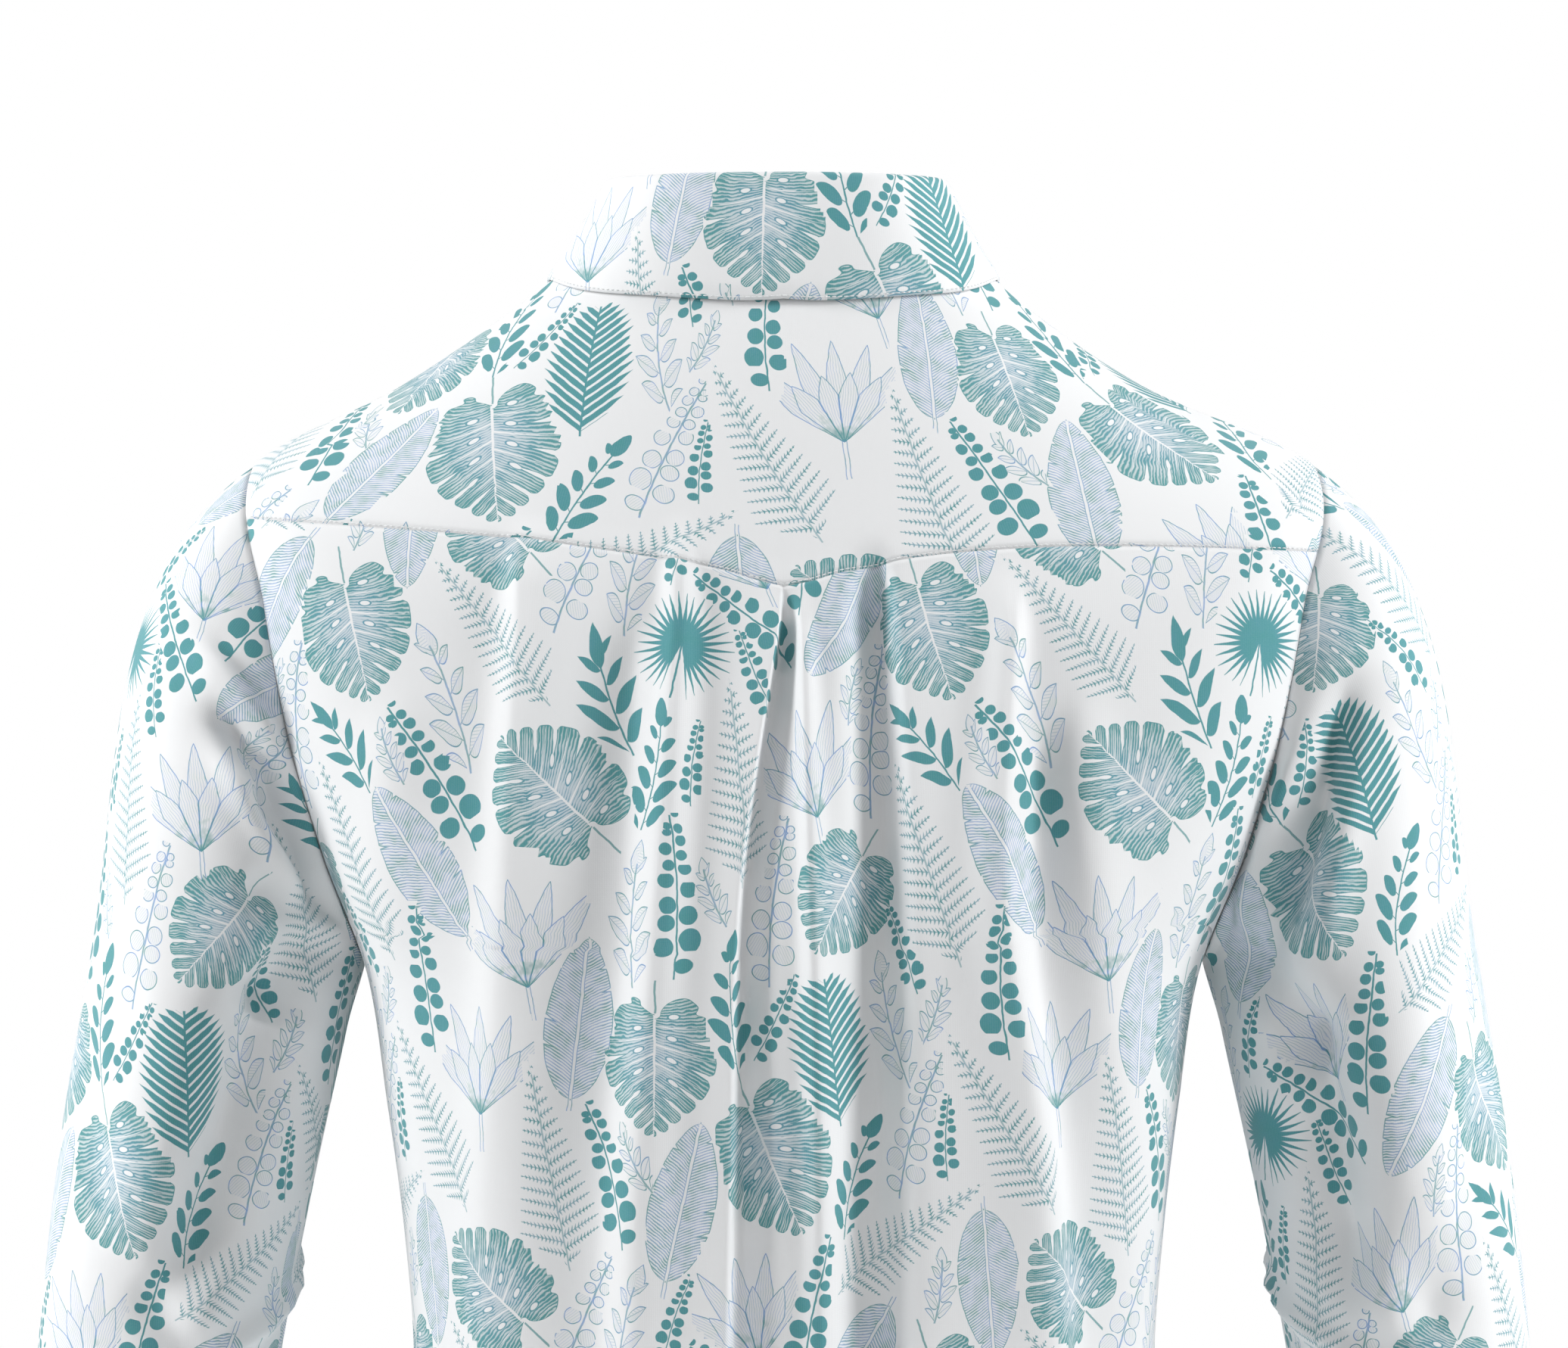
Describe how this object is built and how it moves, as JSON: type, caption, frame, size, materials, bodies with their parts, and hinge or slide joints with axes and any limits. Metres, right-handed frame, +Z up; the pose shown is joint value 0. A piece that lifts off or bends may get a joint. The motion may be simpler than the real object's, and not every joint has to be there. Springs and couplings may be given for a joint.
{
  "type": "golf shirt",
  "caption": "Long-sleeved golf shirt in leaf-printed knit, filled out as worn, with a turned-down collar, a shaped back yoke and a short buttoned placket.",
  "frame": {"origin": "centre of the neck opening, level with the collar's lower edge at the centre back, where the wearer's shoulders hold the shirt up", "axes": "+Z up towards the collar's fold; the front faces -Y and the back +Y; the wearer's left is +X"},
  "size_m": [0.6354, 0.245, 0.7222],
  "materials": {
    "printed_knit": "matt fine knit, white ground with a printed teal and pale blue leaf pattern",
    "plain_knit": "matt fine knit, unprinted white",
    "button": "semi-gloss moulded plastic"
  },
  "bodies": {
    "root": {"back": "printed_knit", "back_yoke": "printed_knit", "front": "printed_knit", "sleeve_left": "printed_knit", "sleeve_right": "printed_knit", "collar_leaf": "printed_knit", "collar_stand": "plain_knit", "placket_over": "printed_knit", "placket_under": "plain_knit", "button_top": "button", "button_middle": "button", "button_low": "button"}
  },
  "joints": []
}
